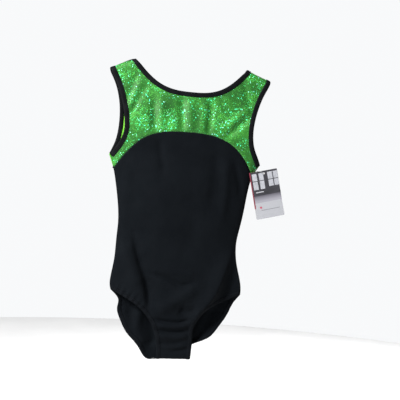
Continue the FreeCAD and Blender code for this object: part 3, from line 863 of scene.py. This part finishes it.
def declare_sheet(piece, pattern, chosen, **how):
    """Works out the area that the piece's triangles have on the flat pattern, and does nothing more with it.
    """
    area = np.abs(crossed(pattern.flat, chosen)).sum() / 2


class Edge:
    """A line on a pattern with, at each point, the direction that leads on into the cloth.

    Where a seam joins it to a line of the other pattern, beyond holds that one, point for point."""

    def __init__(self, pattern, line, inward, beyond=None):
        self.pattern = pattern
        run = np.gradient(line, axis=0)
        run /= np.linalg.norm(run, axis=1)[:, None]
        self.line = line
        self.inward = np.stack([run[:, 1], -run[:, 0]], axis=1) * inward
        self.beyond = beyond

    def at(self, index, reach):
        """Place and normal of the cloth this far in from the line."""
        if reach < 0 and self.beyond is not None:
            return self.beyond.at(index, -reach)
        return self.pattern.on_cloth(self.line[index] + self.inward[index] * reach)


# Past a cut edge a band goes straight on, up to here. A seam inside a panel reaches further, on the cloth.
OVER_THE_EDGE = -2 * MM
EDGE_STEP = 1.5 * MM


def rings_along(edge, section):
    """The section's points along the edge. A section point is (distance in, height off the cloth)."""
    rings = []
    for index in range(len(edge.line)):
        start, start_normal = edge.at(index, 0.0)
        near, _ = edge.at(index, EDGE_STEP)
        inwards = (near - start).normalized()
        ring = []
        for reach, height in section:
            if reach > 0 or edge.beyond is not None or reach < OVER_THE_EDGE:
                place, normal = edge.at(index, reach)
                ring.append(place + normal * height)
            else:
                ring.append(start + inwards * reach + start_normal * height)
        rings.append(ring)
    return rings


def swept(rings, closed):
    """Points and faces of a tube through rings of points."""
    size = len(rings[0])
    points = [p for ring in rings for p in ring]
    faces = []
    count = len(rings)
    for k in range(count if closed else count - 1):
        here, there = k * size, (k + 1) % count * size
        for i in range(size):
            j = (i + 1) % size
            faces.append((here + i, here + j, there + j, there + i))
    if not closed:
        faces.append(tuple(range(size - 1, -1, -1)))
        faces.append(tuple(range((count - 1) * size, count * size)))
    return points, faces


def band(node, edges, kind):
    """A band along the edges, which stands for the node. kind is section, closed or not, material, slot."""
    section, closed, material, slot_name = kind
    rings = []
    for edge in edges:
        found = rings_along(edge, [(d * MM, n * MM) for d, n in section])
        rings += found if not rings else found[1:]
    if closed:
        rings = rings[:-1]
    points, faces = swept(rings, closed)
    name = node + ("_band" if closed else "_stitching")
    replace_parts(mesh_piece(name, points, faces, material, slot_name), node)


# Sections are in millimetres, as (distance in from the cloth's edge, height off the cloth).
BINDING_SECTION = [(9.6, -0.1), (9.4, 0.7), (8.2, 1.1), (6, 1.3), (3, 1.35), (1, 1.25), (-0.7, 0.7),
                   (-1.1, -0.35), (-0.7, -1.3), (1, -1.8), (4, -1.9), (6.2, -1.75), (7.0, -1.4), (7.1, -0.7)]
ELASTIC_SECTION = [(1.2, -0.85), (6.4, -0.85), (6.4, -1.35), (1.2, -1.35)]
HEM_SECTION = [(8.3, -0.2), (8.0, 0.45), (6, 0.75), (3, 0.8), (0.8, 0.6), (-0.5, -0.1), (-0.6, -0.8),
               (0.4, -1.6), (3, -1.9), (7.4, -1.8), (8.2, -1.2)]
SEAM_SECTION = [(-3, -0.75), (3, -0.75), (2.9, -1.45), (0, -1.6), (-2.9, -1.45)]

BINDING = (BINDING_SECTION, True, binding_tape, "binding_tape")
ELASTIC = (ELASTIC_SECTION, True, elastic_tape, "elastic_tape")
HEM = (HEM_SECTION, True, hem_knit, "hem_knit")
SEAM = (SEAM_SECTION, False, thread, "seam_thread")
LINING_TOP = -538 * MM
LINING_BELOW = 1.1 * MM
LINING_THICKNESS = 0.5 * MM
CROTCH_SEAM_HALF = 28 * MM

front, back = Pattern(FRONT), Pattern(BACK)


# The outline runs clockwise seen from the front on the pattern, so the cloth lies to one side of every chain.
def round_opening(name):
    """The edge of an opening, all the way round: along the front, then back along the back."""
    return [Edge(front, front.line(name), 1), Edge(back, back.line(name)[::-1], -1)]


def sewn_seam(name, half_length=math.inf):
    """A seam's edge on the front, out to half_length from the middle, with the back's edge beyond it."""
    lines = [front.line(name), back.line(name)]
    lines = [line[np.abs(line[:, 0]) < half_length] for line in lines]
    return [Edge(front, lines[0], 1, Edge(back, lines[1], 1))]


def make_cloth():
    """The four panels, cut from the two patterns."""
    for part, material, slot_name, reverse in (("yoke", foil, "foil_knit", foil_reverse),
                                               ("body", black_knit, "plain_knit", None)):
        for name, pattern in (("front_", front), ("back_", back)):
            chosen = pattern.triangles[pattern.in_yoke == (part == "yoke")]
            points, faces = two_layers(pattern.places, pattern.normals, chosen, CLOTH_THICKNESS)
            lined = reverse and (reverse, len(chosen), 2 * len(chosen))
            piece = mesh_piece(name + part + "_cloth", points, faces, material, slot_name, lined=lined)
            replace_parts(piece, name + part)
            declare_sheet(piece, pattern, chosen, held="hung")


def make_lining():
    """The gusset lining, inside the front of the crotch."""
    heights = front.flat[front.triangles].mean(1)[:, 1]
    chosen = front.triangles[(heights < LINING_TOP) & (heights > CROTCH_Z - CROTCH_FADE)]
    places = front.places - front.normals * LINING_BELOW
    points, faces = two_layers(places, front.normals, chosen, LINING_THICKNESS)
    piece = mesh_piece("gusset_lining_cloth", points, faces, lining_knit, "lining_knit")
    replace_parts(piece, "gusset_lining")
    declare_sheet(piece, front, chosen, held="stretched", rests_on=["front_body_cloth"])


make_cloth()
openings = {name: round_opening(name) for name in ("neck", "left_arm", "left_leg", "right_arm", "right_leg")}
band("neck_binding", openings["neck"], BINDING)
band("neck_elastic", openings["neck"], ELASTIC)
for hand in ("left_", "right_"):
    band(hand + "armhole_binding", openings[hand + "arm"], BINDING)
    band(hand + "armhole_elastic", openings[hand + "arm"], ELASTIC)
    band(hand + "leg_hem", openings[hand + "leg"], HEM)
    band(hand + "leg_elastic", openings[hand + "leg"], ELASTIC)
    band(hand + "side_seam", sewn_seam(hand + "side"), SEAM)
    band(hand + "shoulder_seam", sewn_seam(hand + "ridge"), SEAM)
band("front_yoke_seam", [Edge(front, front.yoke_line, 1)], SEAM)
band("back_yoke_seam", [Edge(back, back.yoke_line, 1)], SEAM)
make_lining()
band("crotch_seam", sewn_seam("crotch", CROTCH_SEAM_HALF), SEAM)


# ---- stitches ----
STITCH_LENGTH = 2.3 * MM
STITCH_GAP = 0.9 * MM
STITCH_RADIUS = 0.28 * MM
STITCH_WIDE = 1.2
STITCH_HIGH = 0.7
STITCH_ANGLES = [2 * math.pi * k / 6 for k in range(6)]
# Along a stitch, its thickness as a share of the radius.
STITCH_PROFILE = ((0.0, 0.35), (0.2, 0.95), (0.5, 1.0), (0.8, 0.95), (1.0, 0.35))


def stitches(name, edges, rows):
    """Rows of separate stitches on the face of a band. A row is (distance in from the edge, height)."""
    points, faces = [], []
    for reach, height in rows:
        for edge in edges:
            found = [edge.at(i, reach * MM) for i in range(len(edge.line))]
            path = np.array([place + normal * height * MM for place, normal in found])
            out = np.array([normal for _, normal in found])
            run = lengths(path)
            for start in np.arange(0.5 * STITCH_GAP, run[-1] - STITCH_LENGTH, STITCH_LENGTH + STITCH_GAP):
                at = [start + STITCH_LENGTH * t for t, _ in STITCH_PROFILE]
                middle = read_off(at, run, path)
                up = Vector(read_off(at[2], run, out)).normalized()
                sideways = up.cross(Vector(middle[-1] - middle[0])).normalized()
                ring = [sideways * math.cos(a) * STITCH_WIDE + up * math.sin(a) * STITCH_HIGH
                        for a in STITCH_ANGLES]
                rings = [[Vector(centre) + off * STITCH_RADIUS * size for off in ring]
                         for centre, (_, size) in zip(middle, STITCH_PROFILE)]
                more, sides = swept(rings, False)
                faces += [tuple(i + len(points) for i in f) for f in sides]
                points += more
    mesh_piece(name, points, faces, thread, "seam_thread")


BINDING_STITCHES = [(7.9, 1.2)]
HEM_STITCHES = [(6.4, 0.8), (3.4, 0.85)]
stitches("neck_binding_stitches", openings["neck"], BINDING_STITCHES)
for hand in ("left_", "right_"):
    stitches(hand + "armhole_stitches", openings[hand + "arm"], BINDING_STITCHES)
    stitches(hand + "leg_hem_stitches", openings[hand + "leg"], HEM_STITCHES)


# ---- care label and swing tag ----
LABEL_CURL = 0.8 * MM
LABEL_RIPPLE = 0.25 * MM
LABEL_LAYER = 0.16 * MM
LABEL_LOOSE = 0.22 * MM


def make_label():
    """Woven care label, folded in two and sewn into the side seam, curled a little."""
    low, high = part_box("care_label")
    columns, rows = 18, 10
    points = []
    for half in (1, -1):
        for i in range(columns + 1):
            for j in range(rows + 1):
                t, w = i / columns, j / rows
                curl = LABEL_CURL * math.sin(math.pi * t) * math.sin(0.6 + 2.2 * w)
                curl += LABEL_RIPPLE * math.sin(9 * t + 3 * w)
                apart = LABEL_LAYER + LABEL_LOOSE * math.sin(math.pi * t)**2
                points.append((high[0] + (low[0] - high[0]) * t, curl + half * apart,
                               low[2] + (high[2] - low[2]) * w))
    stride = rows + 1
    other = (columns + 1) * stride
    faces = []
    for i in range(columns):
        for j in range(rows):
            a = i * stride + j
            faces.append((a, a + 1, a + stride + 1, a + stride))
            a += other
            faces.append((a, a + stride, a + stride + 1, a + 1))
    rim = [i * stride for i in range(columns)] + [columns * stride + j for j in range(rows)]
    rim += [(columns - i) * stride + rows for i in range(columns)] + [rows - j for j in range(rows)]
    for a, b in zip(rim, rim[1:] + rim[:1]):
        faces.append((a, a + other, b + other, b))
    piece = mesh_piece("care_label_fold", points, faces, woven_label, "woven_label")
    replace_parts(piece, "care_label")


def card(name, node, material, slot_name, body, middle_y, lean, hole_shift):
    """Board tag with rounded corners and a round hole, bowed a little, its hole at its own origin."""
    left, right = -CARD_WIDTH / 2 - hole_shift, CARD_WIDTH / 2 - hole_shift
    top, bottom = CARD_HOLE_DROP, CARD_HOLE_DROP - CARD_HEIGHT
    corners = []
    for cx, cz, start in ((right, top, 0), (left, top, 90), (left, bottom, 180), (right, bottom, 270)):
        cx += CARD_CORNER if cx == left else -CARD_CORNER
        cz += CARD_CORNER if cz == bottom else -CARD_CORNER
        for k in range(6):
            angle = math.radians(start + 18 * k)
            corners.append((cx + CARD_CORNER * math.cos(angle), cz + CARD_CORNER * math.sin(angle)))
    turns = [k * math.pi / 12 for k in range(24)]
    hole = [(CARD_HOLE_RADIUS * math.cos(t), CARD_HOLE_RADIUS * math.sin(t)) for t in turns]
    flat = corners + hole
    edges = ring_edges(len(corners)) + ring_edges(len(hole), len(corners))
    spots = [(left + CARD_WIDTH * i / 12, bottom + CARD_HEIGHT * j / 20)
             for i in range(1, 12) for j in range(1, 20)]
    flat += [spot for spot in spots if math.hypot(*spot) > CARD_HOLE_RADIUS + 1.5 * MM]
    found = delaunay_2d_cdt([Vector(p) for p in flat], edges, [], 0, 1e-7)
    flat = np.array([tuple(v) for v in found[0]])
    triangles = np.array([list(f) for f in found[2]])
    centres = flat[triangles].mean(1)
    triangles = triangles[inside(centres, np.array(corners)) & ~inside(centres, np.array(hole))]
    wrong = crossed(flat, triangles) < 0
    triangles[wrong] = triangles[wrong][:, ::-1]
    bow = CARD_BOW * ((flat[:, 0] / CARD_WIDTH * 2)**2 + 0.5 * (flat[:, 1] / CARD_HEIGHT)**2 - 0.5)
    points = np.stack([flat[:, 0], bow, flat[:, 1]], axis=1)
    normals = np.tile((0.0, -1.0, 0.0), (len(points), 1))
    points, faces = two_layers(points, normals, triangles, CARD_THICKNESS)
    place = Matrix.Translation((CARD_HANG[0], middle_y, CARD_HANG[1]))
    place = place @ Matrix.Rotation(-math.radians(lean), 4, "Y")
    piece = mesh_piece(name, points, faces, material, slot_name, body, smooth=False, place=place)
    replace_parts(piece, node)


make_label()
card("front_card_board", "front_card", printed_card, "printed_card", "front_tag", -11.35 * MM, 13.6, 0.0)
card("rear_card_board", "rear_card", coloured_card, "coloured_card", "rear_tag", -10.25 * MM, 13.1, 2.0 * MM)
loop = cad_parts["tag_loop"]
loop.data.materials.clear()
loop.data.materials.append(clear_nylon)

# ---- floor ----
FLOOR_Z = -0.95
FLOOR_RADIUS = 2.4
FLOOR_SIDES = 96
turns = [2 * math.pi * k / FLOOR_SIDES for k in range(FLOOR_SIDES)]
rim = [(FLOOR_RADIUS * math.cos(t), FLOOR_RADIUS * math.sin(t), FLOOR_Z) for t in turns]
floor_data = bpy.data.meshes.new("floor")
floor_data.from_pydata(rim, [], [tuple(range(FLOOR_SIDES))])
floor = linked("floor", floor_data)
paint = Material("floor_paint", Roughness=0.9)
pale = paint.ramp(paint.noise(6, 2), (0.3, grey_of(0.78)), (0.7, grey_of(0.82)))
floor_data.materials.append(paint.finished(Base_Color=pale))
